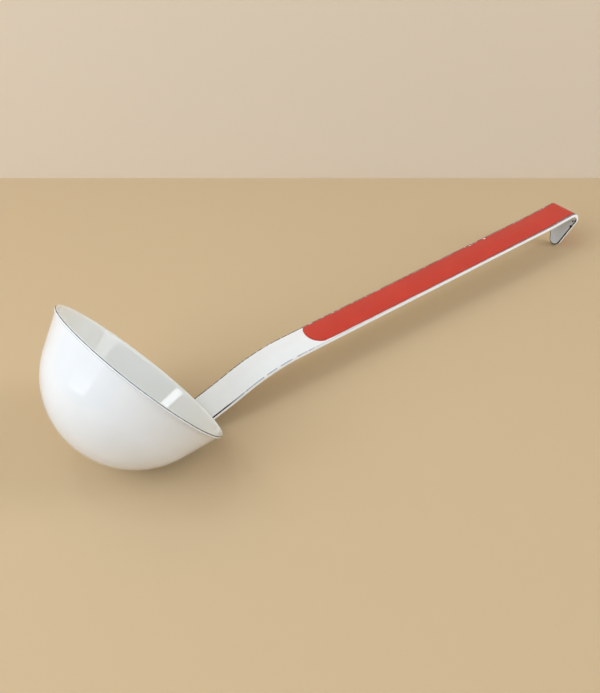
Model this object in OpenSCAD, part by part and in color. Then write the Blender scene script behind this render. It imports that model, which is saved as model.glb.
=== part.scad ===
// Soup ladle of enamelled sheet steel, lying on a table with its bowl at -X.
// A pressed bowl and one long strip handle are spot welded, dipped in white enamel,
// and the top of the grip is then sprayed red. Nothing on it moves.

/* [Bowl] */
// Outer radius of the round bottom of the bowl
bowl_r = 43; // [36:0.5:60]
// Reach of the rolled lip past the round of the bowl
lip_out = 4.5; // [2:0.1:5.5]
// Height of the lip's top above the centre of the round bottom
lip_rise = 3; // [0:0.5:8]
// Radius of the hollow under the rolled lip
lip_roll = 0.8; // [0.5:0.1:2]
// Radius of the small flat in the middle of the bowl's bottom
bottom_flat = 2; // [1:0.5:6]
// Steel left bare along the lip's outer corner
bare_edge = 0.25; // [0.1:0.05:0.4]

/* [Sheets and enamel] */
// Thickness of the bowl's steel
bowl_steel_t = 0.7; // [0.5:0.1:1.5]
// Thickness of the handle's steel
strip_t = 1.5; // [1:0.1:3]
// Thickness of each coat of enamel
enamel_t = 0.3; // [0.2:0.05:0.5]

/* [Handle] */
// Width of the handle over its enamel
strip_w = 18; // [12:0.5:26]
// Fall of the handle's top from its ridge to its edges
crown = 0.6; // [0.2:0.1:1.2]
// Half width of the rounded ridge
ridge_half = 2.2; // [1:0.1:4]
// Length over which the crown fades in or out
crown_fade = 20; // [8:1:30]
// Angle of the neck off the bowl's axis
neck_lean = 17.5; // [10:0.5:24]
// Gap between the neck and the lip
lip_gap = 0.4; // [0.2:0.1:3]
// Radius of the bend that lifts the root off the bowl
root_bend_r = 40; // [20:1:60]
// Length of the straight neck
neck_len = 25; // [22:1:60]
// Radius of the bend between the neck and the grip
neck_bend_r = 110; // [50:1:200]
// Turn from the neck to the grip
neck_turn = 17.4; // [8:0.1:30]
// Length of the straight grip, up to the hook
grip_len = 199; // [140:1:260]

/* [Hook] */
// Inner radius of the hook's fold
hook_r = 2.5; // [1.5:0.1:6]
// Turn of the fold
hook_turn = 114; // [110:1:150]
// Length of the tongue past the fold
tongue_len = 18.5; // [12:0.5:30]
// Radius of the tongue's round tip
tongue_tip_r = 3.9; // [2:0.1:5]

/* [Foot] */
// Angle below the bowl's equator where the foot leaves the bowl
foot_top = 28; // [26:1:34]
// Angle below the equator of the centre of the foot's round end
foot_end = 50; // [44:1:60]
// Thickness of the enamel film between the foot's middle and the bowl
foot_film = 0.1; // [0.05:0.05:0.2]
// Radius of each spot weld
weld_r = 2.2; // [1.5:0.1:3]
// Number of spot welds
weld_count = 3; // [2:1:4]
// Depth of a spot weld into each sheet
weld_depth = 0.35; // [0.2:0.05:0.45]

/* [Red enamel] */
// White margin between the red and each edge of the handle
red_margin = 0.6; // [0.3:0.1:2]
// Straight grip before the tip of the red's round start
red_start = 9; // [2:0.5:30]
// Length over which the red's round start widens to its full width
red_start_depth = 4.6; // [1:0.1:5]

/* [Hidden] */
$fn = 128;

white = [0.93, 0.94, 0.95];
lining_white = [0.86, 0.87, 0.85];
red = [0.72, 0.2, 0.15];
dark_steel = [0.27, 0.28, 0.3];
bright_steel = [0.62, 0.63, 0.65];

// The bowl's wall, in a half section: x is the radius and y the height above the round's centre
wall_t = bowl_steel_t + 2 * enamel_t;
steel_r = bowl_r - enamel_t;
lip_r = bowl_r + lip_out;
roll_x = lip_r - enamel_t;
roll_y = lip_rise - wall_t - lip_roll;
roll_far = norm([roll_x, roll_y]);
draft = acos((bowl_r + lip_roll) / roll_far) - atan2(roll_y, roll_x);
wall_len = sqrt(roll_far * roll_far - pow(bowl_r + lip_roll, 2));

// The handle's steel
core_half = strip_w / 2 - enamel_t;
full_t = strip_t + 2 * enamel_t;
seat_r = steel_r + foot_film;
foot_r = seat_r + strip_t;
rest_r = foot_r + enamel_t;
red_half = strip_w / 2 - red_margin;
red_start_r = (red_half * red_half + red_start_depth * red_start_depth) / (2 * red_start_depth);

// The crown's ridge is drawn with this many steps each side, and each flank is one straight slope
ridge_steps = 2;
flank_slope = crown / (strip_w / 2 - ridge_half / 2);

// How far a shape that cuts another reaches past it
past = 2;

// Neighbouring stretches of the handle run this far into each other, and every second one is
// smaller all round by the seam
lap = 0.3;
seam = 0.06;

// How far the neck's steel stands from the round's centre, so that its coat clears the lip
neck_off = lip_r * cos(neck_lean) - (lip_rise - wall_t) * sin(neck_lean) + lip_gap + enamel_t;
root_turn = foot_top - neck_lean;
root_len = (neck_off - seat_r * cos(root_turn) - root_bend_r * (1 - cos(root_turn))) / sin(root_turn);

// The handle's path is [x, y, heading] in the plane of symmetry, along the top of its steel
function side(h) = [-sin(h), cos(h)];
function place(q) = [q.x, q.y];
function ahead(q, len) = [q.x + len * cos(q.z), q.y + len * sin(q.z), q.z];
function centre(q, r, turn) = place(q) + sign(turn) * r * side(q.z);
function swing(q, r, turn) =
    let (p = centre(q, r, turn) - sign(turn) * r * side(q.z + turn)) [p.x, p.y, q.z + turn];

root_at = [seat_r * cos(foot_top), -seat_r * sin(foot_top), 90 - foot_top];
root_bend_at = ahead(root_at, root_len);
neck_at = swing(root_bend_at, root_bend_r, root_turn);
crown_at = ahead(neck_at, crown_fade);
neck_bend_at = ahead(neck_at, neck_len);
grip_at = swing(neck_bend_at, neck_bend_r, -neck_turn);
flat_at = ahead(grip_at, grip_len - crown_fade);
hook_at = ahead(grip_at, grip_len);
hook_bend_r = hook_r + full_t - enamel_t;
tongue_at = swing(hook_at, hook_bend_r, -hook_turn);
tip_at = ahead(tongue_at, tongue_len);

// At rest the foot and the tip of the tongue touch the table
tip_corner = place(tip_at) + enamel_t * side(tip_at.z);
tilt = asin(rest_r / norm(tip_corner)) + atan2(tip_corner.y, tip_corner.x);
hook_centre = centre(hook_at, hook_bend_r, -hook_turn);
reach = hook_centre.x * cos(tilt) + hook_centre.y * sin(tilt) + hook_r + full_t;
middle = (reach - bowl_r) / 2;

// How far a crowned section's top falls at y: a rounded ridge between two straight flanks
function ridge_fall(y) = let (a = abs(y))
    flank_slope * (a < ridge_half ? a * a / (2 * ridge_half) : a - ridge_half / 2);
function stations(half) = concat([-half], [for (i = [-ridge_steps:ridge_steps])
    ridge_half * i / ridge_steps], [half]);

// A section as [y, height] points, between two heights over the top of the steel
function layer(half, low, high, crowned) =
    let (ys = stations(half), n = len(ys))
    concat([for (i = [0:n - 1]) [ys[i], high - crowned * ridge_fall(ys[i])]],
           [for (i = [n - 1:-1:0]) [ys[i], low - crowned * ridge_fall(ys[i])]]);
function section(skin, crowned) = layer(core_half + skin, -strip_t - skin, skin, crowned);
function red_section(high, crowned) = layer(red_half, -strip_t / 2, high, crowned);

// Turns z to run along the path at q, with x across the handle and y towards its top
module on_path(q) {
    multmatrix([[0, -sin(q.z), cos(q.z), q.x],
                [1, 0, 0, 0],
                [0, cos(q.z), sin(q.z), q.y],
                [0, 0, 0, 1]]) children();
}

// A straight stretch with one section
module run(q, len, section) {
    on_path(q) linear_extrude(len) polygon(section);
}

// A straight stretch whose section changes from one shape to another, let into both neighbours
module fade(q, len, from, to) {
    n = len(from);
    points = concat([for (p = from) [p.x, p.y, -lap]], [for (p = to) [p.x, p.y, len + lap]]);
    caps = [for (i = [0:n / 2 - 2]) each [[i, n - 2 - i, i + 1], [i, n - 1 - i, n - 2 - i]]];
    far_caps = [for (f = caps) [f[2] + n, f[1] + n, f[0] + n]];
    walls = [for (i = [0:n - 1]) let (j = (i + 1) % n) each [[i, j + n, i + n], [i, j, j + n]]];
    on_path(q) polyhedron(points, concat(caps, far_caps, walls));
}

// A bend with one section, about the y axis through its centre, reaching past both ends by over
module bend(q, r, turn, section, over = 0) {
    c = centre(q, r, turn);
    s = -sign(turn);
    extra = over * 180 / (PI * r);
    n = s * side(q.z);
    multmatrix([[n.x, cos(q.z), 0, c.x],
                [0, 0, s, 0],
                [n.y, sin(q.z), 0, c.y],
                [0, 0, 0, 1]])
        rotate([0, 0, -extra]) rotate_extrude(angle = abs(turn) + 2 * extra)
            polygon([for (p = section) [r + s * p.y, p.x]]);
}

// Outline of the tongue, from its root at x = 0: straight sides drawn in to a round tip
module tongue_outline(half, tip) {
    tip_at = tongue_len - tongue_tip_r;
    lean = atan2(half, -tip_at) - acos(tip / norm([half, tip_at]));
    touch = [tip_at + tip * cos(lean), tip * sin(lean)];
    polygon([[-lap, -half], [0, -half], [touch.x, -touch.y], touch, [0, half], [-lap, half]]);
    translate([tip_at, 0]) circle(tip);
}

module tongue(half, tip, low, high) {
    on_path(tongue_at) translate([0, high, 0]) rotate([90, -90, 0])
        linear_extrude(high - low) tongue_outline(half, tip);
}

// The foot: the strip bent round the bowl but straight across it, with a round end. It seats on
// the bowl along its middle and is the flat base that the ladle rests on.
module foot(inner, outer, half) {
    intersection() {
        rotate([90, 180, 0]) difference() {
            cylinder(2 * strip_w, r = outer, center = true);
            cylinder(2 * strip_w + past, r = inner, center = true);
        }
        rotate([0, 90 + foot_end, 0]) linear_extrude(outer + past) {
            circle(half);
            translate([-outer, -half]) square([outer, 2 * half]);
        }
        rotate([0, foot_top, 0]) translate([0, -outer, -outer - past])
            cube([outer + past, 2 * outer, outer + past]);
    }
}

// Everything that the handle takes up, grown by skin over its steel. Each stretch is let
// into the next, with a section smaller by the seam on every second one.
module handle_solid(skin, foot_inner) {
    full = section(skin, 1);
    flat = section(skin, 0);
    full_in = section(skin - seam, 1);
    flat_in = section(skin - seam, 0);
    foot(foot_inner, foot_r + skin, core_half + skin);
    run(ahead(root_at, -lap), root_len + 2 * lap, flat_in);
    bend(root_bend_at, root_bend_r, root_turn, flat);
    fade(neck_at, crown_fade, flat_in, full_in);
    run(crown_at, neck_len - crown_fade, full);
    bend(neck_bend_at, neck_bend_r, -neck_turn, full_in, lap);
    run(grip_at, grip_len - crown_fade, full);
    fade(flat_at, crown_fade, full_in, flat_in);
    bend(hook_at, hook_bend_r, -hook_turn, flat);
    tongue(core_half + skin - seam, tongue_tip_r - enamel_t + skin, -strip_t - skin + seam, skin - seam);
}

// The red coat as far up as high over the steel, with its round start
module red_solid(high) {
    intersection() {
        run(grip_at, grip_len - crown_fade, red_section(high, 1));
        on_path(ahead(grip_at, red_start)) rotate([90, 0, 0]) translate([0, 0, -past])
            linear_extrude(2 * past) {
                translate([0, red_start_r]) circle(red_start_r);
                translate([-strip_w / 2, red_start_depth]) square([strip_w, grip_len]);
            }
    }
    fade(flat_at, crown_fade, red_section(high - seam, 1), red_section(high - seam, 0));
    bend(hook_at, hook_bend_r, -hook_turn, red_section(high, 0));
    tongue(red_half - seam, tongue_tip_r - red_margin, -strip_t / 2, high - seam);
}

// Half section of the space inside the wall's surface that lies inset from its outside: a round
// bottom with its small flat, a straight wall that touches it, and the hollow of the lip's roll.
// It is drawn with the wall upright, so that each arc meets its line exactly, and then leant out.
module inside(inset, reach, top) {
    r = bowl_r - inset;
    low = -sqrt(r * r - bottom_flat * bottom_flat);
    roll = [bowl_r + lip_roll, wall_len];
    intersection() {
        translate([0, low]) square([reach, top - low]);
        rotate([0, 0, -draft]) {
            intersection() {
                circle(r);
                translate([-2 * r, -2 * r]) square([4 * r, 2 * r]);
            }
            difference() {
                polygon([[-2 * r, 0], [r, 0], [r, roll.y], [roll.x + past, roll.y],
                         [roll.x + past, 2 * r], [-2 * r, 2 * r]]);
                translate(roll) rotate([0, 0, 180]) circle(lip_roll + inset);
            }
        }
    }
}

// The wall between two depths, the outer one reaching out to reach and up to top at the lip
module wall_layer(outer, inner, reach = roll_x, top = lip_rise) {
    rotate_extrude() difference() {
        inside(outer, reach, top);
        inside(inner, roll_x, lip_rise);
    }
}

// Puts the bowl's axes, with the round's centre at the origin, into the lying pose
module lying() {
    translate([-middle, 0, rest_r]) rotate([0, tilt, 0]) children();
}

// The steel of the strip, and the welds in a row down the middle of its foot
module strip() {
    handle_solid(0, seat_r);
}

module weld_row() {
    step = (foot_end - foot_top) / weld_count;
    for (i = [0:weld_count - 1])
        rotate([0, 90 + foot_end - i * step, 0])
            translate([0, 0, steel_r - weld_depth]) cylinder(2 * weld_depth + foot_film, r = weld_r);
}

module bowl_steel() {
    color(dark_steel) lying() difference() {
        wall_layer(enamel_t, enamel_t + bowl_steel_t);
        weld_row();
    }
}

module bowl_coat() {
    color(white) lying() difference() {
        wall_layer(0, enamel_t, lip_r, lip_rise - enamel_t - bare_edge);
        foot(seat_r, foot_r, core_half);
        run(ahead(root_at, -lap), root_len, section(-seam, 0));
        weld_row();
    }
}

module bowl_lining() {
    color(lining_white) lying() wall_layer(enamel_t + bowl_steel_t, wall_t);
}

module handle_strip() {
    color(bright_steel) lying() difference() {
        strip();
        weld_row();
    }
}

module spot_welds() {
    color(dark_steel) lying() weld_row();
}

module handle_coat() {
    color(white) lying() difference() {
        handle_solid(enamel_t, steel_r - past);
        strip();
        rotate_extrude() inside(0, roll_x, lip_rise);
        red_solid(enamel_t + past);
    }
}

module grip_enamel() {
    color(red) lying() difference() {
        red_solid(enamel_t);
        strip();
    }
}

bowl_steel();
bowl_coat();
bowl_lining();
handle_strip();
spot_welds();
handle_coat();
grip_enamel();
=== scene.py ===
# %% [markdown]
# # A white soup ladle with a red grip
# The ladle is pressed and bent from sheet steel and dipped in enamel, which is a glass that melts onto the
# metal. The measured model comes in as a fixed frame. Around it this lesson builds what the eye meets: the
# glossy white bowl, the long bent handle, its red coat, and the thin dark lines where the glass runs thin.
# Everything is in metres, and the ladle lies on z = 0 with its bowl at -X and its hook at +X.

# %% Load the measured model
import math

import bmesh
import bpy
from mathutils import Matrix, Vector


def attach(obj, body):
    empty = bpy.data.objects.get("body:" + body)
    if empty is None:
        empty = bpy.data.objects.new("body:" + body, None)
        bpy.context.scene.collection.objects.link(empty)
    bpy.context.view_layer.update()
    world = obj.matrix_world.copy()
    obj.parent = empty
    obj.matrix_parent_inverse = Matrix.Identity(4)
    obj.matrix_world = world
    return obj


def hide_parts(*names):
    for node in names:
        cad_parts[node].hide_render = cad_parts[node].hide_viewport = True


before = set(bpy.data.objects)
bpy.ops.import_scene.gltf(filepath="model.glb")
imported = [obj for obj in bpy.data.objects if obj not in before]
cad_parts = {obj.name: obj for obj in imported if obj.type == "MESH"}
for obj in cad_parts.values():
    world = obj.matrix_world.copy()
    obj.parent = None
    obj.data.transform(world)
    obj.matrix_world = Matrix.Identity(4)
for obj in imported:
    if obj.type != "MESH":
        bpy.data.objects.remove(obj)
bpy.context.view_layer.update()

MM = 0.001
print("nodes:", sorted(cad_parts))

# %% [markdown]
# ## The camera
# A photograph's camera can be found from the picture: the lip is a circle and the handle's edges are parallel,
# so their ellipse and their vanishing point give the place, the turn and the focal length. The ladle in the
# photograph has rolled a few degrees onto its side. The model stays level here, and the camera carries the
# same small roll the other way about the ladle's long axis.

# %% Place the camera
PHOTO_WIDTH, PHOTO_HEIGHT = 600, 693
FOCAL_PIXELS = 968.2
YAW, PITCH, ROLL = math.radians(-35.989), math.radians(41.983), math.radians(4.394)
DISTANCE = 520.08 * MM
AIM = Vector((100.024, 15.295, 0.247)) * MM
BOWL_PLACE = Vector((-122.539, 0, 44.6)) * MM

right = Vector((math.cos(YAW), math.sin(YAW), 0))
back = Vector((math.sin(YAW) * math.cos(PITCH), -math.cos(YAW) * math.cos(PITCH), math.sin(PITCH)))
roll = Matrix.Rotation(ROLL, 4, "X")
stand = Matrix.Translation((BOWL_PLACE.x, 0, 0)) @ roll @ Matrix.Translation(AIM + back * DISTANCE)
view_turn = Matrix((right, back.cross(right), back)).transposed().to_4x4()

camera_data = bpy.data.cameras.new("camera")
camera_data.sensor_fit = "VERTICAL"
camera_data.sensor_height = 24
camera_data.lens = FOCAL_PIXELS * camera_data.sensor_height / PHOTO_HEIGHT
camera_data.clip_start, camera_data.clip_end = 0.01, 20
camera = bpy.data.objects.new("camera", camera_data)
camera.matrix_world = stand @ view_turn
bpy.context.scene.collection.objects.link(camera)
bpy.context.scene.camera = camera
bpy.context.view_layer.update()
print("camera at", [round(v, 3) for v in camera.matrix_world.translation], "lens", round(camera_data.lens, 2))

# %% [markdown]
# ## Small tools for node trees
# Materials and Geometry Nodes are both trees of nodes. A few helpers keep the later cells short. The first adds
# a node and feeds its inputs. The others do a sum, a smooth step from one value to another, a product of masks,
# a noise, the distance from a point, the sum of two vectors, and a mix of two colours.

# %% Helpers that add nodes


def add(tree, kind, feeds=None, **settings):
    """A new node. feeds maps an input's name or number to a value or to another node's output."""
    made = tree.nodes.new(kind)
    for name, value in settings.items():
        setattr(made, name, value)
    for name, feed in (feeds or {}).items():
        if isinstance(feed, bpy.types.NodeSocket):
            tree.links.new(feed, made.inputs[name])
        else:
            made.inputs[name].default_value = feed
    return made


def calc(tree, operation, *feeds):
    """The result of a sum on numbers."""
    return add(tree, "ShaderNodeMath", dict(enumerate(feeds)), operation=operation).outputs[0]


def ramp(tree, value, start, end, low=0.0, high=1.0):
    """low up to start, high from end on, and a smooth change between them."""
    feeds = {"Value": value, "From Min": start, "From Max": end, "To Min": low, "To Max": high}
    return add(tree, "ShaderNodeMapRange", feeds, interpolation_type="SMOOTHSTEP").outputs[0]


def all_of(tree, *masks):
    """The product of masks."""
    product = masks[0]
    for mask in masks[1:]:
        product = calc(tree, "MULTIPLY", product, mask)
    return product


def noise(tree, place, scale, detail):
    """A cloud of values between 0 and 1, at so many waves to the unit."""
    return add(tree, "ShaderNodeTexNoise", {"Vector": place, "Scale": scale, "Detail": detail}).outputs[0]


def distance_from(tree, point, place):
    """How far each place lies from one point."""
    return add(tree, "ShaderNodeVectorMath", {0: place, 1: point}, operation="DISTANCE").outputs["Value"]


def add_vectors(tree, first, second):
    """The sum of two vectors."""
    return add(tree, "ShaderNodeVectorMath", {0: first, 1: second}, operation="ADD").outputs[0]


def mix_colours(tree, factor, first, second):
    """The first colour where the factor is 0 and the second where it is 1: (r, g, b) or a socket each."""
    first = first if isinstance(first, bpy.types.NodeSocket) else (*first, 1)
    second = second if isinstance(second, bpy.types.NodeSocket) else (*second, 1)
    return add(tree, "ShaderNodeMix", {0: factor, 6: first, 7: second}, data_type="RGBA").outputs[2]


# %% [markdown]
# ## The room
# The ladle lies on a sheet of plain board with a plain wall behind it. The board's far edge is a level line in
# the photograph, so two points of that line are followed from the camera down to the board, and the wall
# stands on the line between them.

# %% Floor and wall
EDGE_ROW = 178
FLOOR_REACH, WALL_HEIGHT = 4.0, 2.5
MATT = 0.9
BOARD_COLOUR, WALL_COLOUR = (0.555, 0.418, 0.252), (0.745, 0.640, 0.512)


def floor_point(column, row):
    """The point of the floor that shows at a pixel of the 600 x 693 picture."""
    ray = Vector((column - PHOTO_WIDTH / 2, PHOTO_HEIGHT / 2 - row, -FOCAL_PIXELS))
    ray = camera.matrix_world.to_3x3() @ ray
    start = camera.matrix_world.translation
    return start - ray * (start.z / ray.z)


def flat_piece(name, corners, colour):
    """One flat face with a plain matt paint."""
    mesh = bpy.data.meshes.new(name)
    mesh.from_pydata(corners, [], [range(len(corners))])
    piece = bpy.data.objects.new(name, mesh)
    bpy.context.scene.collection.objects.link(piece)
    paint = bpy.data.materials.new(name + "_paint")
    paint.use_nodes = True
    shader = paint.node_tree.nodes["Principled BSDF"]
    shader.inputs["Base Color"].default_value = (*colour, 1)
    shader.inputs["Roughness"].default_value = MATT
    mesh.materials.append(paint)


edge_left, edge_right = floor_point(0, EDGE_ROW), floor_point(PHOTO_WIDTH, EDGE_ROW)
along_edge = (edge_right - edge_left).normalized()
to_camera = Vector((along_edge.y, -along_edge.x, 0)) * FLOOR_REACH
up_wall = Vector((0, 0, WALL_HEIGHT))
wall_left, wall_right = edge_left - along_edge * FLOOR_REACH, edge_right + along_edge * FLOOR_REACH
flat_piece("floor", [wall_left, wall_left + to_camera, wall_right + to_camera, wall_right], BOARD_COLOUR)
flat_piece("wall", [wall_left, wall_right, wall_right + up_wall, wall_left + up_wall], WALL_COLOUR)
print("the board ends", round((edge_left - camera.matrix_world.translation).length, 3), "m from the camera")

# %% [markdown]
# ## The light
# Two windows at the upper left do most of the work, so the shadow falls softly to the lower right. A broad
# window on the right and a lamp in front lift the near side, and the even light of the sky fills the shadows.
# Two small lamps are there for what they leave in the glass: one high above gives the bright patch deep in the
# bowl, and a low flat one gives the pale patch on its outside. Daylight is a little cooler than the board.

# %% Lamps and sky
COOL = (0.95, 1.0, 1.05)
SKY_STRENGTH = 0.41


def soft_lamp(name, place, target, size, power):
    """A flat lamp at a place, turned to its target: size is (wide, tall) in metres and power is in watts."""
    data = bpy.data.lights.new(name, "AREA")
    data.color = COOL
    data.shape = "RECTANGLE"
    data.size, data.size_y = size
    data.energy = power
    lamp = bpy.data.objects.new(name, data)
    lamp.location = place
    lamp.rotation_euler = (Vector(target) - Vector(place)).to_track_quat("-Z", "Y").to_euler()
    bpy.context.scene.collection.objects.link(lamp)


frame_middle, bowl_middle = (0, 0, 0), tuple(BOWL_PLACE)
soft_lamp("high_window", (-0.95, 0.35, 1.0), frame_middle, (0.9, 0.9), 6.1)
soft_lamp("side_window", (-1.3, -0.2, 0.8), frame_middle, (1.0, 1.0), 8.6)
soft_lamp("right_window", (1.3, -0.5, 0.8), frame_middle, (1.8, 1.8), 31)
soft_lamp("ceiling_lamp", (-0.25, 0.23, 1.3), bowl_middle, (0.16, 0.22), 0.9)
soft_lamp("low_lamp", (-1.4, 0.18, 0.19), bowl_middle, (0.50, 0.05), 0.25)
soft_lamp("front_lamp", (0.69, -0.73, 0.19), bowl_middle, (0.70, 0.50), 2.5)
sky = bpy.data.worlds.new("sky")
sky.use_nodes = True
sky.node_tree.nodes["Background"].inputs["Color"].default_value = (*COOL, 1)
sky.node_tree.nodes["Background"].inputs["Strength"].default_value = SKY_STRENGTH
bpy.context.scene.world = sky
bpy.context.scene.view_settings.view_transform = "Standard"

# %% [markdown]
# ## White enamel
# Fired enamel is a layer of white glass: bright, glossy, and never quite level, because it sets while it still
# flows. Its colour is nearly even, with a faint cloudiness. Two noises in the bump give the slow waves and the
# fine orange-peel skin that soften a reflection's edge.

# %% Make an enamel material
ENAMEL_IOR = 1.52
CLOUD_SCALE, SMEAR_SCALE, WAVE_SCALE, PEEL_SCALE = 38.0, 110.0, 90.0, 900.0
WAVE_STRENGTH, PEEL_STRENGTH = 0.10, 0.015


def enamel(name, colour, cloud, roughness):
    """An enamel's material, and the socket that carries its colour. Cloud is the colour of its cloudy parts."""
    made = bpy.data.materials.new(name)
    made.use_nodes = True
    tree = made.node_tree
    shader = tree.nodes["Principled BSDF"]
    shader.inputs["IOR"].default_value = ENAMEL_IOR
    place = add(tree, "ShaderNodeTexCoord").outputs["Object"]
    clouds = noise(tree, place, CLOUD_SCALE, 3.0)
    tint = mix_colours(tree, ramp(tree, clouds, 0.3, 0.7), colour, cloud)
    tree.links.new(tint, shader.inputs["Base Color"])
    smears = noise(tree, place, SMEAR_SCALE, 2.0)
    tree.links.new(ramp(tree, smears, 0.3, 0.75, roughness, roughness * 1.5), shader.inputs["Roughness"])
    waves = noise(tree, place, WAVE_SCALE, 1.0)
    peel = noise(tree, place, PEEL_SCALE, 2.0)
    slow = add(tree, "ShaderNodeBump", {"Height": waves, "Strength": WAVE_STRENGTH, "Distance": 0.5 * MM})
    fine = add(tree, "ShaderNodeBump", {"Height": peel, "Strength": PEEL_STRENGTH, "Distance": 0.1 * MM,
                                        "Normal": slow.outputs[0]})
    tree.links.new(fine.outputs[0], shader.inputs["Normal"])
    return made, tint


def recolour(material, factor, colour, below):
    """Lays a colour over the socket below, where factor is 1, and returns the new colour socket."""
    tree = material.node_tree
    tint = mix_colours(tree, factor, below, colour)
    tree.links.new(tint, tree.nodes["Principled BSDF"].inputs["Base Color"])
    return tint


outside_white, outside_tint = enamel("bowl_outside_white", (0.82, 0.85, 0.885), (0.795, 0.825, 0.86), 0.11)
# The lining is the same enamel as the outside, painted darker and greener as painted shade inside the bowl.
inside_white_shaded, _ = enamel("bowl_inside_white", (0.79, 0.812, 0.797), (0.765, 0.787, 0.772), 0.07)
handle_white, handle_tint = enamel("handle_white", (0.82, 0.845, 0.855), (0.78, 0.805, 0.815), 0.12)
grip_red, grip_tint = enamel("grip_red", (0.545, 0.033, 0.019), (0.50, 0.029, 0.017), 0.17)
print("enamels:", [m.name for m in bpy.data.materials if "_white" in m.name or "_red" in m.name])

# %% [markdown]
# ## Bare steel
# Under the glass is thin rolled steel. It shows only as a line around the lip, where the enamel drew back from
# the sharp edge and the metal fired to a dark blue-grey scale. The handle's strip and the welds are covered all
# over, and wear a brushed finish with fine scratches along the strip.

# %% Make the steel materials
GRAIN_SCALE, STEEL_METALLIC = 60.0, 0.85


def steel(name, colour, scale_colour, stretch, roughness):
    """A steel with a drawn-out grain between its bare colour and its scale's colour."""
    made = bpy.data.materials.new(name)
    made.use_nodes = True
    tree = made.node_tree
    shader = tree.nodes["Principled BSDF"]
    shader.inputs["Metallic"].default_value = STEEL_METALLIC
    place = add(tree, "ShaderNodeTexCoord").outputs["Object"]
    drawn = add(tree, "ShaderNodeMapping", {"Vector": place, "Scale": stretch}).outputs[0]
    grain = noise(tree, drawn, GRAIN_SCALE, 6.0)
    tint = mix_colours(tree, ramp(tree, grain, 0.35, 0.65), colour, scale_colour)
    tree.links.new(tint, shader.inputs["Base Color"])
    tree.links.new(ramp(tree, grain, 0.3, 0.7, roughness, roughness + 0.2), shader.inputs["Roughness"])
    bump = add(tree, "ShaderNodeBump", {"Height": grain, "Strength": 0.2, "Distance": 0.05 * MM})
    tree.links.new(bump.outputs[0], shader.inputs["Normal"])
    return made


lip_steel = steel("lip_steel", (0.10, 0.105, 0.115), (0.20, 0.21, 0.23), (1, 1, 1), 0.45)
strip_steel = steel("strip_steel", (0.22, 0.22, 0.23), (0.30, 0.30, 0.31), (0.5, 12, 12), 0.35)
weld_steel = steel("weld_steel", (0.14, 0.14, 0.15), (0.24, 0.23, 0.22), (6, 6, 6), 0.5)
for node_name, finish in (("handle_strip", strip_steel), ("spot_welds", weld_steel)):
    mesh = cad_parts[node_name].data
    mesh.materials.clear()
    mesh.materials.append(finish)
print("steels:", lip_steel.name, strip_steel.name, weld_steel.name)

# %% [markdown]
# ## A tree that spins a profile
# The bowl is pressed as a round, so every layer of it is one half section spun about an axis. This tree does
# that with a grid: its rows read their place from the profile's points, and its columns turn them about the
# axis. The seam and the pole close when the doubles merge. The tree then leans the bowl over and puts it in
# place, as it lies on the table.

# %% Build the spinning tree


def new_tree(name, inputs):
    """A Geometry Nodes tree with named inputs, its group input node and the identifiers of its inputs."""
    tree = bpy.data.node_groups.new(name, "GeometryNodeTree")
    tree.interface.new_socket("Geometry", in_out="OUTPUT", socket_type="NodeSocketGeometry")
    tree.interface.new_socket("Geometry", in_out="INPUT", socket_type="NodeSocketGeometry")
    keys = {}
    for label, kind in inputs.items():
        socket = tree.interface.new_socket(label, in_out="INPUT", socket_type="NodeSocket" + kind)
        keys[label] = socket.identifier
    return tree, tree.nodes.new("NodeGroupInput").outputs, keys


def close_tree(tree, geometry, material):
    """Ends a tree: real geometry, smooth faces, and the piece's material."""
    smooth = add(tree, "GeometryNodeSetShadeSmooth", {0: geometry}).outputs[0]
    real = add(tree, "GeometryNodeRealizeInstances", {0: smooth}).outputs[0]
    painted = add(tree, "GeometryNodeSetMaterial", {0: real, "Material": material}).outputs[0]
    add(tree, "NodeGroupOutput", {0: painted})


spin, feed, SPIN_KEYS = new_tree("spin_a_profile", {"Columns": "Int", "Lean": "Float", "Place": "Vector",
                                                    "Material": "Material"})
columns = calc(spin, "ADD", feed["Columns"], 1)
rows = add(spin, "GeometryNodeAttributeDomainSize", {0: feed["Geometry"]}).outputs["Point Count"]
grid = add(spin, "GeometryNodeMeshGrid", {"Vertices X": rows, "Vertices Y": columns}).outputs["Mesh"]
index = add(spin, "GeometryNodeInputIndex").outputs[0]
row = calc(spin, "FLOOR", calc(spin, "DIVIDE", calc(spin, "ADD", index, 0.5), columns))
column = calc(spin, "SUBTRACT", index, calc(spin, "MULTIPLY", row, columns))
turn = calc(spin, "MULTIPLY", calc(spin, "DIVIDE", column, feed["Columns"]), math.tau)
position = add(spin, "GeometryNodeInputPosition").outputs[0]
half_section = add(spin, "GeometryNodeSampleIndex", {"Geometry": feed["Geometry"], "Index": row},
                   data_type="FLOAT_VECTOR")
spin.links.new(position, half_section.inputs["Value"])
spun = add(spin, "ShaderNodeVectorRotate", {"Vector": half_section.outputs[0], "Angle": turn},
           rotation_type="Z_AXIS").outputs[0]
leant = add(spin, "ShaderNodeVectorRotate", {"Vector": spun, "Angle": feed["Lean"]},
            rotation_type="Y_AXIS").outputs[0]
placed = add_vectors(spin, leant, feed["Place"])
moved = add(spin, "GeometryNodeSetPosition", {"Geometry": grid, "Position": placed}).outputs[0]
noted = add(spin, "GeometryNodeStoreNamedAttribute", {"Geometry": moved, "Name": "half_section",
                                                      "Value": half_section.outputs[0]},
            data_type="FLOAT_VECTOR", domain="POINT").outputs[0]
merged = add(spin, "GeometryNodeMergeByDistance", {"Geometry": noted, "Distance": 0.002 * MM}).outputs[0]
close_tree(spin, merged, feed["Material"])
print("spin tree:", len(spin.nodes), "nodes, inputs", list(SPIN_KEYS))

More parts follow.
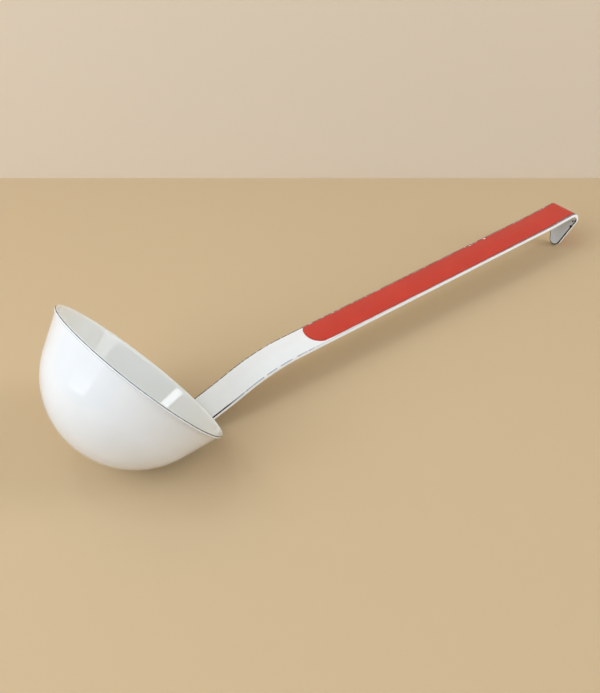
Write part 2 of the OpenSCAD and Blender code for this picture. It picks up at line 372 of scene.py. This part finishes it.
# %% [markdown]
# ## The bowl's layers
# The bowl is a round bottom, a straight wall that leans out, and a lip rolled outwards. Steel lies between an
# outer coat and a lining of enamel, so every surface is the same curve at another depth. Each layer is a closed
# loop: out along one depth, round its end at the lip, and back along the other. The lining ends in a soft drop,
# and the coat stops just below the steel's corner, which leaves the thin dark line around the lip.

# %% Sizes of the bowl, in millimetres
BOWL_R, LIP_R, LIP_TOP, ROLL_R = 43.0, 47.5, 3.0, 0.8
COAT, STEEL, BARE = 0.3, 0.7, 0.25
COAT_END_ROUND = 0.2
COLUMNS, BOTTOM_STEPS, WALL_STEPS, ROLL_STEPS = 288, 64, 14, 14
MOST_OF_SIDE = 0.49
BOWL_LEAN = math.radians(54.055)
WALL = STEEL + 2 * COAT
ROLL_AT = Vector((LIP_R - COAT, LIP_TOP - WALL - ROLL_R))
DRAFT = math.acos((BOWL_R + ROLL_R) / ROLL_AT.length) - math.atan2(ROLL_AT.y, ROLL_AT.x)


def arc(centre, radius, start, end, steps):
    """Points of an arc between two angles in degrees."""
    angles = [math.radians(start + (end - start) * i / steps) for i in range(steps + 1)]
    return [(centre[0] + radius * math.cos(a), centre[1] + radius * math.sin(a)) for a in angles]


def wall_at(inset):
    """The wall's surface at a depth below its outside, from the pole up to the end of the lip's roll."""
    lean = math.degrees(DRAFT)
    bottom = arc((0, 0), BOWL_R - inset, -90, -lean, BOTTOM_STEPS)
    roll_arc = arc(ROLL_AT, ROLL_R + inset, 180 - lean, 90, ROLL_STEPS)
    start, end = Vector(bottom[-1]), Vector(roll_arc[0])
    between = [tuple(start.lerp(end, i / WALL_STEPS)) for i in range(1, WALL_STEPS)]
    return bottom + between + roll_arc


def rounded(corners, radius, steps=5):
    """A path whose inner corners are curves: each starts a radius before its corner and ends one after it."""
    drawn = [corners[0]]
    for before, corner, after in zip(corners, corners[1:], corners[2:]):
        a, b, c = Vector(before), Vector(corner), Vector(after)
        start = b + (a - b).normalized() * min(radius, (a - b).length * MOST_OF_SIDE)
        end = b + (c - b).normalized() * min(radius, (c - b).length * MOST_OF_SIDE)
        for i in range(steps + 1):
            t = i / steps
            drawn.append(tuple(start * (1 - t) ** 2 + b * 2 * t * (1 - t) + end * t ** 2))
    return drawn + [corners[-1]]


def spun_layer(name, loop, material):
    """A closed layer of the bowl, spun from the points of its half section."""
    mesh = bpy.data.meshes.new(name)
    mesh.from_pydata([(x * MM, 0, z * MM) for x, z in loop], [], [])
    piece = bpy.data.objects.new(name, mesh)
    bpy.context.scene.collection.objects.link(piece)
    work = piece.modifiers.new("spin", "NODES")
    work.node_group = spin
    values = {"Columns": COLUMNS, "Lean": BOWL_LEAN, "Place": tuple(BOWL_PLACE), "Material": material}
    for label, value in values.items():
        work[SPIN_KEYS[label]] = value
    return settle(piece)


def settle(piece, turn_outwards=True):
    """Runs a piece's tree once and keeps the plain mesh, with its faces turned outwards if they need it."""
    bpy.context.view_layer.update()
    evaluated = piece.evaluated_get(bpy.context.evaluated_depsgraph_get())
    plain = bpy.data.meshes.new_from_object(evaluated)
    piece.modifiers.clear()
    piece.data = plain
    plain.name = piece.name
    edit = bmesh.new()
    edit.from_mesh(plain)
    if turn_outwards:
        bmesh.ops.recalc_face_normals(edit, faces=edit.faces)
    open_edges = sum(not e.is_manifold for e in edit.edges)
    volume = edit.calc_volume(signed=True)
    edit.to_mesh(plain)
    edit.free()
    print(f"{piece.name}: {len(plain.polygons)} faces, {open_edges} open edges, {volume * 1e9:.0f} mm3")
    return piece


# %% Spin the three layers
coat_end = rounded([(ROLL_AT.x, LIP_TOP - WALL), (LIP_R, LIP_TOP - WALL), (LIP_R, LIP_TOP - COAT - BARE),
                    (ROLL_AT.x, LIP_TOP - COAT - BARE), (ROLL_AT.x, LIP_TOP - WALL + COAT)],
                   COAT_END_ROUND)[1:-1]
lining_end = rounded([(ROLL_AT.x - COAT, LIP_TOP), (ROLL_AT.x, LIP_TOP), (ROLL_AT.x, LIP_TOP - COAT)],
                     COAT, steps=8)[1:]
lining_top = [point for point in wall_at(WALL) if point[0] < ROLL_AT.x - COAT]
bowl_outside = spun_layer("bowl_outside", wall_at(0) + coat_end + wall_at(COAT)[::-1], outside_white)
bowl_core = spun_layer("bowl_core", wall_at(COAT) + wall_at(COAT + STEEL)[::-1], lip_steel)
bowl_inside = spun_layer("bowl_inside", lining_top + lining_end + wall_at(COAT + STEEL)[::-1], inside_white_shaded)
for piece, node_name, slot in ((bowl_outside, "bowl_coat", "white_enamel"),
                               (bowl_core, "bowl_steel", "sheet_steel"),
                               (bowl_inside, "bowl_lining", "white_enamel")):
    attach(piece, "root")
    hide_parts(node_name)

# %% [markdown]
# ## The handle's path
# The handle is one strip of steel, cut flat and then bent: it follows the bowl at its foot, leaves it in a
# small bend, runs straight up past the lip, bends down to the long grip, and folds over at the end. The path
# along the top of the steel is walked like a turtle would: straight on for a length in millimetres, or round a
# bend of a given radius and angle. Bends up are positive. The foot ends ROOT_ANGLE below the bowl's level, so
# the walk starts at the foot's round end, further down the bowl by the foot's own angle.

# %% Walk the path
ROOT_ANGLE = 28
PATH_STEP, LEAST_STEPS = 0.8, 32
STEPS = {"foot": (42.8, 34.75), "root": 15.02, "root_bend": (40, 10.5), "neck": 25, "neck_bend": (110, -17.4),
         "grip": 199, "fold": (4.3, -114), "tongue": 18.5}


def walk():
    """The path's points in the bowl's own upright frame, and how far along it each step starts."""
    foot_angle = math.radians(ROOT_ANGLE + STEPS["foot"][1])
    at = Vector((math.cos(foot_angle), -math.sin(foot_angle))) * STEPS["foot"][0]
    heading, gone, points, starts = math.pi / 2 - foot_angle, 0.0, [at.copy()], {}
    for name, step in STEPS.items():
        starts[name] = gone
        radius, bend = step if isinstance(step, tuple) else (None, 0)
        length = radius * math.radians(abs(bend)) if radius else step
        count = max(LEAST_STEPS, round(length / PATH_STEP))
        for _ in range(count):
            half_turn = math.radians(bend) / count / 2
            chord = 2 * radius * math.sin(abs(half_turn)) if radius else length / count
            heading += half_turn
            at = at + Vector((math.cos(heading), math.sin(heading))) * chord
            heading += half_turn
            points.append(at.copy())
        gone += length
    starts["tip"] = gone
    return points, starts


path_points, START = walk()
lie = Matrix.Translation(BOWL_PLACE) @ Matrix.Rotation(BOWL_LEAN, 4, "Y")
path_data = bpy.data.curves.new("handle_path", "CURVE")
path_data.dimensions = "3D"
line = path_data.splines.new("POLY")
line.points.add(len(path_points) - 1)
for point, (x, z) in zip(line.points, path_points):
    point.co = (*(lie @ Vector((x * MM, 0, z * MM))), 1)
handle_path = bpy.data.objects.new("handle_path", path_data)
bpy.context.scene.collection.objects.link(handle_path)
print("steps start at", {name: round(v, 1) for name, v in START.items()}, "mm")

# %% [markdown]
# ## A tree that bends a flat blank
# The maker cuts the strip flat, crowns it in a roller and bends it on a form. This tree does the same with a
# flat mesh whose x runs along the strip, y across it and z up from the steel's top. Each point reads its place
# and direction on the path from Sample Curve. The crown is a soft ridge between two straight flanks, and fades
# out at both ends of the grip. At the foot the enamel wells up between the flat strip and the round bowl, so
# points that lie on the bowl are lifted until they follow its surface.

# %% Build the bending tree
bend, feed, BEND_KEYS = new_tree("bend_a_blank", {
    "Path": "Object", "Flank slope": "Float", "Ridge": "Float", "Crown starts": "Float", "Crown ends": "Float",
    "Crown fade": "Float", "Bowl radius": "Float", "Foot ends": "Float", "Root ends": "Float",
    "Material": "Material"})
flat_place = add(bend, "ShaderNodeSeparateXYZ", {0: add(bend, "GeometryNodeInputPosition").outputs[0]}).outputs
along, across, height = flat_place["X"], flat_place["Y"], flat_place["Z"]
curve = add(bend, "GeometryNodeObjectInfo", {"Object": feed["Path"]}).outputs["Geometry"]
sample = add(bend, "GeometryNodeSampleCurve", {"Curves": curve, "Length": calc(bend, "MULTIPLY", along, MM)},
             mode="LENGTH")
facing = add(bend, "ShaderNodeSeparateXYZ", {0: sample.outputs["Tangent"]}).outputs
upward = add(bend, "ShaderNodeCombineXYZ", {"X": calc(bend, "MULTIPLY", facing["Z"], -1.0), "Z": facing["X"]})

full_crown_starts = calc(bend, "ADD", feed["Crown starts"], feed["Crown fade"])
full_crown_ends = calc(bend, "SUBTRACT", feed["Crown ends"], feed["Crown fade"])
crown_in = ramp(bend, along, feed["Crown starts"], full_crown_starts)
crown_out = ramp(bend, along, full_crown_ends, feed["Crown ends"], 1.0, 0.0)
crowned = calc(bend, "MULTIPLY", crown_in, crown_out)
distance = calc(bend, "ABSOLUTE", across)
on_ridge = calc(bend, "MINIMUM", distance, feed["Ridge"])
twice_ridge = calc(bend, "MULTIPLY", feed["Ridge"], 2.0)
ridge_part = calc(bend, "DIVIDE", calc(bend, "MULTIPLY", on_ridge, on_ridge), twice_ridge)
flank_part = calc(bend, "MAXIMUM", calc(bend, "SUBTRACT", distance, feed["Ridge"]), 0.0)
fall = calc(bend, "MULTIPLY", calc(bend, "ADD", ridge_part, flank_part), feed["Flank slope"])
square_r = calc(bend, "MULTIPLY", feed["Bowl radius"], feed["Bowl radius"])
chord_depth = calc(bend, "SQRT", calc(bend, "SUBTRACT", square_r, calc(bend, "MULTIPLY", across, across)))
on_bowl = add(bend, "GeometryNodeInputNamedAttribute", {"Name": "on_bowl"}, data_type="FLOAT")
below_bowl = calc(bend, "SUBTRACT", feed["Bowl radius"], chord_depth)
well = calc(bend, "MULTIPLY", below_bowl, on_bowl.outputs["Attribute"])
welled = calc(bend, "MULTIPLY", well, ramp(bend, along, feed["Foot ends"], feed["Root ends"], 1.0, 0.0))
lifted = calc(bend, "ADD", calc(bend, "SUBTRACT", height, calc(bend, "MULTIPLY", fall, crowned)), welled)
raised = add(bend, "ShaderNodeVectorMath", {0: upward.outputs[0], "Scale": calc(bend, "MULTIPLY", lifted, MM)},
             operation="SCALE").outputs[0]
sideways = add(bend, "ShaderNodeCombineXYZ", {"Y": calc(bend, "MULTIPLY", across, MM)}).outputs[0]
on_path = add_vectors(bend, sample.outputs["Position"], raised)
bent_place = add_vectors(bend, on_path, sideways)
bent = add(bend, "GeometryNodeSetPosition", {"Geometry": feed["Geometry"], "Position": bent_place}).outputs[0]
close_tree(bend, bent, feed["Material"])
print("bending tree:", len(bend.nodes), "nodes, inputs", list(BEND_KEYS))

# %% [markdown]
# ## The flat blank
# Seen from above, the blank is a long strip with a round end at the foot and a tongue at the hook, drawn in to
# a smaller round end. Every point of that outline has a partner on the strip's middle line. The section between
# them runs in from the edge along the bottom and along the top, with rounded corners, because liquid glass can
# not hold a sharp edge. Each point keeps its flat place, and its distance from the edge, as attributes, so a
# material can follow the strip through every bend.

# %% Draw the blank's outline
HALF, STRIP_T = 9.0, 1.5
FOOT_MIDDLE = 9.45
TIP_R = 3.9
CORNER = 0.42
CROWN, RIDGE_HALF, CROWN_FADE = 0.6, 2.2, 20.0
FLANK_SLOPE = CROWN / (HALF - RIDGE_HALF / 2)
WIDE_ROWS, FOLD_ROWS, FOLD_MARGIN = 1.4, 0.3, 0.5


def stations(start, end):
    """Places along the strip where it needs a row of points: close together in the fold."""
    at, places = start, []
    while at < end:
        places.append(at)
        in_fold = START["fold"] - FOLD_MARGIN < at < START["tongue"] + FOLD_MARGIN
        at += FOLD_ROWS if in_fold else WIDE_ROWS
    return places


def tongue_side(half, tip, steps=12):
    """The tongue's side from its root to the tip: (along, across, along of its partner)."""
    root, middle = START["tongue"], START["tip"] - TIP_R
    reach = math.hypot(half, middle - root)
    lean = math.atan2(half, root - middle) - math.acos(tip / reach)
    touch = (middle + tip * math.cos(lean), tip * math.sin(lean))
    side = []
    for i in range(steps):
        t = i / steps
        side.append((root + (touch[0] - root) * t, half + (touch[1] - half) * t, root + (middle - root) * t))
    return side + [(x, y, middle) for x, y in arc((middle, 0), tip, math.degrees(lean), 0, steps=16)]


def strip_side(half, tip):
    """One side of the whole strip, from the foot's round end to the tongue's tip."""
    foot = [(x, y, FOOT_MIDDLE) for x, y in arc((FOOT_MIDDLE, 0), half, 180, 90, steps=20)][:-1]
    straight = [(x, half, x) for x in stations(FOOT_MIDDLE, START["tongue"])]
    return foot + straight + tongue_side(half, tip)


print("outline:", len(strip_side(HALF, TIP_R)), "points on each side")

# %% Fill an outline with rounded sections
FLAT_STEPS = 8
SAME_PLACE = 1e-4
WELL_OVER_STEEL = 0.08


def spread(start, end):
    """Even steps from just past the start up to the end."""
    return [start + (end - start) * i / FLAT_STEPS for i in range(1, FLAT_STEPS + 1)]


def rounded_section(length, low, high, corner):
    """Half a section from the middle of the bottom round to the middle of the top: (inset, height)."""
    flats = spread(corner, length)
    turns = [math.radians(15 * i) for i in range(7)]
    bottom = [(corner * (1 - math.sin(t)), low + corner * (1 - math.cos(t))) for t in turns]
    top = [(corner * (1 - math.sin(t)), high - corner * (1 - math.cos(t))) for t in turns[::-1]]
    return [(d, low) for d in flats[::-1]] + bottom + top + [(d, high) for d in flats]


def fill_blank(sides, section_of, on_bowl=None):
    """A closed flat mesh. Sides are the outlines for +y and -y; section_of(sign, number, length) is a ring."""
    edit = bmesh.new()
    flat = edit.verts.layers.float_vector.new("flat")
    edge = edit.verts.layers.float.new("edge")
    lies = edit.verts.layers.float.new("on_bowl")
    for sign, side in zip((1, -1), sides):
        rings = []
        for number, (x, y, partner) in enumerate(side):
            start, inwards = Vector((x, y)), Vector((partner - x, -y))
            ring = []
            for inset, height in section_of(sign, number, inwards.length):
                at = start + inwards.normalized() * inset
                vert = edit.verts.new((at.x, sign * at.y, height))
                vert[flat], vert[edge] = vert.co, inset
                vert[lies] = on_bowl(height) if on_bowl else 0
                ring.append(vert)
            rings.append(ring)
        for first, second in zip(rings, rings[1:]):
            for i in range(len(first) - 1):
                edit.faces.new((first[i], second[i], second[i + 1], first[i + 1]))
    bmesh.ops.remove_doubles(edit, verts=edit.verts, dist=SAME_PLACE)
    bmesh.ops.recalc_face_normals(edit, faces=edit.faces)
    return edit


def bend_blank(name, edit, material):
    """Turns a flat blank in millimetres into a piece, bent along the handle's path."""
    mesh = bpy.data.meshes.new(name)
    edit.to_mesh(mesh)
    edit.free()
    piece = bpy.data.objects.new(name, mesh)
    bpy.context.scene.collection.objects.link(piece)
    work = piece.modifiers.new("bend", "NODES")
    work.node_group = bend
    values = {"Path": handle_path, "Flank slope": FLANK_SLOPE, "Ridge": RIDGE_HALF,
              "Crown starts": START["neck"], "Crown ends": START["fold"], "Crown fade": CROWN_FADE,
              "Bowl radius": BOWL_R - COAT + WELL_OVER_STEEL,
              "Foot ends": START["root"], "Root ends": START["root_bend"], "Material": material}
    for label, value in values.items():
        work[BEND_KEYS[label]] = value
    return settle(piece, turn_outwards=False)


# %% [markdown]
# ## The handle's white coat
# The coat is a shell 0.3 mm thick. Its outer skin has soft corners. Its inner skin is the steel's own surface,
# with its faces turned round to point into the steel, so the two make one closed solid.

# %% Bend the white coat
steel_side = strip_side(HALF - COAT, TIP_R - COAT)
steel_skin = fill_blank([steel_side, steel_side],
                        lambda sign, number, length: rounded_section(length, -STRIP_T, 0, 0))
bmesh.ops.reverse_faces(steel_skin, faces=steel_skin.faces)
inner_mesh = bpy.data.meshes.new("steel_skin")
steel_skin.to_mesh(inner_mesh)
steel_skin.free()
coat_side = strip_side(HALF, TIP_R)
full_height = STRIP_T + 2 * COAT
white_blank = fill_blank([coat_side, coat_side],
                         lambda sign, number, length: rounded_section(length, -STRIP_T - COAT, COAT, CORNER),
                         lambda height: (height + STRIP_T + COAT) / full_height)
white_blank.from_mesh(inner_mesh)
bpy.data.meshes.remove(inner_mesh)
handle_enamel = bend_blank("handle_enamel", white_blank, handle_white)

# %% [markdown]
# ## The red coat
# The red is sprayed over the fired white through a mask and fired again. It begins with a round end, runs over
# the fold and down the tongue, and stops short of the edges. Its edge is a soft step of a few hundredths of a
# millimetre. The round end is flatter on the far side (sign +1) than on the near side (sign -1). The near
# margin is wider at both ends, as in the photograph, and both margins waver a little.

# %% Bend the red coat
RED_START, RED_FAN = 10.0, 6.8
RED_ROUND = {1: 12.1, -1: 8.6}
FAR_MARGIN, NEAR_MARGIN, TONGUE_MARGIN = 0.85, 0.35, 0.6
NARROWEST, START_WIDENING, END_WIDENING = 0.55, 0.55, 0.65
RED_FLAT, RED_STEP, RED_SINKS, RED_LIP, RED_RISES = 0.45, 0.32, 0.04, 0.01, 0.06


def waver(x):
    """The small waves of a sprayed edge, in millimetres."""
    return 0.05 * math.sin(x / 3.1) + 0.035 * math.sin(x / 1.3 + 1)


def red_margin(sign, x):
    """The white margin beside the red: sign is +1 on the far side and -1 on the near side."""
    start, fold = START["grip"] + RED_START, START["fold"]
    t = min(1.0, (x - start) / (fold - start))
    if sign > 0:
        margin = FAR_MARGIN
    elif t < NARROWEST:
        margin = NEAR_MARGIN + START_WIDENING * (1 - t / NARROWEST) ** 2
    else:
        margin = NEAR_MARGIN + END_WIDENING * ((t - NARROWEST) / (1 - NARROWEST)) ** 2
    late = max(0.0, (x - fold) / (START["tongue"] - fold))
    return (margin + waver(x)) * (1 - late) + TONGUE_MARGIN * late


def red_side(sign):
    """One side of the red's outline, from its round end to the tongue's tip."""
    start = START["grip"] + RED_START
    half = HALF - red_margin(sign, start)
    radius = RED_ROUND[sign]
    end = 180 - math.degrees(math.asin(half / radius))
    side = [(x, y, start + RED_FAN) for x, y in arc((start + radius, 0), radius, 180, end, steps=14)]
    for x in stations(start + RED_FAN, START["tongue"])[1:]:
        side.append((x, HALF - red_margin(sign, x), x))
    return side + tongue_side(HALF - TONGUE_MARGIN, TIP_R - TONGUE_MARGIN)


def red_section(sign, number, length):
    """A thin skin that follows the white coat's top and its rounded corner."""
    x, y, _ = red_sides[sign][number]
    margin = max(0.0, HALF - y) if x < START["tongue"] else TONGUE_MARGIN

    def fall(inset):
        gap = max(0.0, CORNER - margin - inset)
        return CORNER - math.sqrt(CORNER ** 2 - gap ** 2)

    insets = [0, 0.07, 0.14, 0.22, RED_STEP, RED_FLAT] + spread(RED_FLAT, length)
    low = [(d, COAT - RED_SINKS - fall(d)) for d in insets[::-1]]
    high = []
    for d in insets:
        t = min(1.0, d / RED_STEP)
        high.append((d, COAT - RED_LIP + RED_RISES * t * t * (3 - 2 * t) - fall(d)))
    return low + high


red_sides = {1: red_side(1), -1: red_side(-1)}
grip_red_coat = bend_blank("grip_red_coat", fill_blank([red_sides[1], red_sides[-1]], red_section), grip_red)
for piece, node_name, slot in ((handle_enamel, "handle_coat", "white_enamel"),
                               (grip_red_coat, "grip_enamel", "red_enamel")):
    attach(piece, "root")
    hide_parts(node_name)
bpy.data.objects.remove(handle_path)

# %% [markdown]
# ## Lines on the handle
# Liquid enamel draws back from a corner, so the dark ground coat shows through there as a thin line. On this
# handle it is nearly black beside the bowl, thins out to broken blue-grey dashes up the neck, and comes back as
# a blue-grey band beside the red. A thin brownish line follows the far edge. The tongue has a dark outline, and
# three chips sit in the fold's corner. A painted highlight whitens the strip's side faces, and a painted shade
# greys the tongue's inner face.
# The flat blank's attributes say where each point was before it was bent, so a line can follow a corner. Each
# mask is 1 where its line lies, and the ends of its ramps are millimetres on that flat blank.

# %% Find the corners on the bent strip


def blank_place(tree):
    """Where a point was on the flat blank, in millimetres: along, across, height and inset from the edge."""
    flat = add(tree, "ShaderNodeAttribute", attribute_name="flat").outputs["Vector"]
    parts = add(tree, "ShaderNodeSeparateXYZ", {0: flat}).outputs
    inset = add(tree, "ShaderNodeAttribute", attribute_name="edge").outputs["Fac"]
    return flat, parts["X"], parts["Y"], parts["Z"], inset


CRUMB_SCALE, DASH_SCALE = 0.55, 0.22
LIP_PAST_BEND = 10
tree = handle_white.node_tree
flat, along, across, height, inset = blank_place(tree)
into_corner = calc(tree, "SUBTRACT", CORNER, inset)
top_corner = calc(tree, "MINIMUM", into_corner, calc(tree, "SUBTRACT", height, COAT - CORNER))
low_corner = calc(tree, "MINIMUM", into_corner, calc(tree, "SUBTRACT", CORNER - STRIP_T - COAT, height))
near_side = ramp(tree, across, -1.0, 1.0, 1.0, 0.0)
far_side = ramp(tree, across, -1.0, 1.0)
crumbs = noise(tree, flat, CRUMB_SCALE, 4.0)
dashes = noise(tree, flat, DASH_SCALE, 2.0)
lip_along = START["root_bend"] + LIP_PAST_BEND
print("the neck leaves the lip at", round(lip_along, 1), "mm along the blank")

# %% Paint the lines of the white coat
BLACK_LINE, OLIVE_LINE = (0.012, 0.014, 0.018), (0.06, 0.052, 0.032)
BLUE_LINE, BLUE_BAND = (0.24, 0.31, 0.37), (0.14, 0.19, 0.22)
PAINTED_HIGHLIGHT_WHITE, PAINTED_SHADE_GREY = (0.95, 0.96, 0.98), (0.68, 0.73, 0.79)
# Painted highlight: the strip's side faces are painted a brighter white than its top.
painted_highlight_sides = all_of(tree, ramp(tree, inset, 0.02, 0.12, 1.0, 0.0),
                   ramp(tree, height, -STRIP_T - 0.2, -STRIP_T))
handle_tint = recolour(handle_white, painted_highlight_sides, PAINTED_HIGHLIGHT_WHITE, handle_tint)

black_ends = lip_along + 8
black_fades = ramp(tree, along, black_ends, lip_along + 24, 1.0, 0.0)
black_wide = ramp(tree, top_corner, -0.12, -0.05)
handle_tint = recolour(handle_white, all_of(tree, near_side, black_wide, black_fades), BLACK_LINE, handle_tint)
broken = ramp(tree, dashes, 0.34, 0.48)
neck_line = all_of(tree, near_side, ramp(tree, top_corner, 0.01, 0.07), broken,
                   ramp(tree, along, black_ends, lip_along + 20),
                   ramp(tree, along, START["grip"] + 4, START["grip"] + 16, 1.0, 0.35))
handle_tint = recolour(handle_white, all_of(tree, neck_line, 0.8), BLUE_LINE, handle_tint)
band = all_of(tree, near_side, ramp(tree, inset, 0.06, 0.14), ramp(tree, height, -0.2, 0.0),
              ramp(tree, along, START["grip"] + 30, START["fold"] - 30, 0.35, 1.0),
              ramp(tree, crumbs, 0.25, 0.5, 0.6, 1.0),
              ramp(tree, along, START["grip"] + 14, START["grip"] + 30))
handle_tint = recolour(handle_white, band, BLUE_BAND, handle_tint)
far_line = all_of(tree, far_side, ramp(tree, top_corner, -0.55, -0.42),
                  ramp(tree, crumbs, 0.35, 0.5, 0.45, 0.95))
handle_tint = recolour(handle_white, far_line, OLIVE_LINE, handle_tint)

# %% Paint the tongue and the chips
on_tongue = ramp(tree, along, START["fold"] + 3, START["tongue"])
# Painted shade: the tongue's inner face, turned towards the grip's underside, is painted blue-grey.
shaded_inner_face = all_of(tree, on_tongue, ramp(tree, height, -STRIP_T - 0.2, -STRIP_T, 1.0, 0.0),
                    ramp(tree, inset, 0.4, 0.9))
handle_tint = recolour(handle_white, shaded_inner_face, PAINTED_SHADE_GREY, handle_tint)
outline = all_of(tree, on_tongue, ramp(tree, low_corner, -0.35, -0.1), ramp(tree, crumbs, 0.3, 0.45, 0.6, 1.0))
handle_tint = recolour(handle_white, outline, BLACK_LINE, handle_tint)
CHIPS = ((-0.4, -8.5, 0.85), (0.5, -7.2, 0.8), (3.9, -7.2, 1.1))
for past_fold, chip_across, radius in CHIPS:
    chip_place = (START["tongue"] + past_fold, chip_across, -STRIP_T - COAT)
    from_chip = distance_from(tree, chip_place, flat)
    rough_edge = calc(tree, "ADD", from_chip, calc(tree, "MULTIPLY", crumbs, 0.5))
    chip = ramp(tree, rough_edge, radius, radius + 0.15, 1.0, 0.0)
    handle_tint = recolour(handle_white, chip, BLACK_LINE, handle_tint)
print("handle material:", len(tree.nodes), "nodes")

# %% [markdown]
# ## Tones of the red coat
# Where the red runs thin towards its near edge the steel darkens it. Two tiny flecks of white show at the far
# edge, where the coat was knocked.

# %% Paint the red coat's edge
tree = grip_red.node_tree
flat, along, across, height, inset = blank_place(tree)
THIN_RED, FLECK_WHITE = (0.40, 0.028, 0.018), (0.8, 0.8, 0.82)
FLECKS, FLECK_ACROSS = ((142.4, 0.75), (131.2, 0.5)), HALF - 1.1
thin_edge = all_of(tree, ramp(tree, across, -2.0, 0.0, 1.0, 0.0), ramp(tree, inset, 0.1, 2.0, 0.9, 0.0))
grip_tint = recolour(grip_red, thin_edge, THIN_RED, grip_tint)
for along_grip, radius in FLECKS:
    fleck_place = (START["grip"] + along_grip, FLECK_ACROSS, COAT)
    from_fleck = distance_from(tree, fleck_place, flat)
    fleck = ramp(tree, from_fleck, radius, radius + 0.15, 1.0, 0.0)
    grip_tint = recolour(grip_red, fleck, FLECK_WHITE, grip_tint)
print("red material:", len(tree.nodes), "nodes")

# %% [markdown]
# ## The lip's lines
# The lip's outer face is a white band. Above it the enamel thins out towards the bare steel. Below it, in the
# hollow under the roll, a faint lavender grey is painted on the coat as the shade under the lip. The bowl's
# half section was kept as an attribute while it was spun, so both lines are found by their height and radius
# there.

# %% Paint the lip's lines
PAINTED_SHADE_LAVENDER, DARK_EDGE = (0.44, 0.43, 0.50), (0.06, 0.065, 0.07)
WEAR_SCALE = 300.0
tree = outside_white.node_tree
place = add(tree, "ShaderNodeAttribute", attribute_name="half_section").outputs["Vector"]
parts = add(tree, "ShaderNodeSeparateXYZ", {0: place}).outputs
radius, height = calc(tree, "DIVIDE", parts["X"], MM), calc(tree, "DIVIDE", parts["Z"], MM)
# Painted shade: a faint lavender line in the hollow under the lip's roll.
painted_shade_under_lip = all_of(tree, ramp(tree, height, LIP_TOP - WALL + 0.02, LIP_TOP - WALL + 0.14, 1.0, 0.0),
                   ramp(tree, height, LIP_TOP - WALL - 0.45, LIP_TOP - WALL - 0.2),
                   ramp(tree, radius, LIP_R - 1.1, LIP_R - 0.8))
outside_tint = recolour(outside_white, all_of(tree, painted_shade_under_lip, 0.5), PAINTED_SHADE_LAVENDER, outside_tint)
on_bowl_place = add(tree, "ShaderNodeTexCoord").outputs["Object"]
wear = noise(tree, on_bowl_place, WEAR_SCALE, 3.0)
coat_top = LIP_TOP - COAT - BARE
thin_top = all_of(tree, ramp(tree, height, coat_top - 0.14, coat_top - 0.02),
                  ramp(tree, radius, LIP_R - 0.6, LIP_R - 0.5), ramp(tree, wear, 0.4, 0.55, 0.35, 1.0))
outside_tint = recolour(outside_white, thin_top, DARK_EDGE, outside_tint)
print("bowl material:", len(tree.nodes), "nodes")
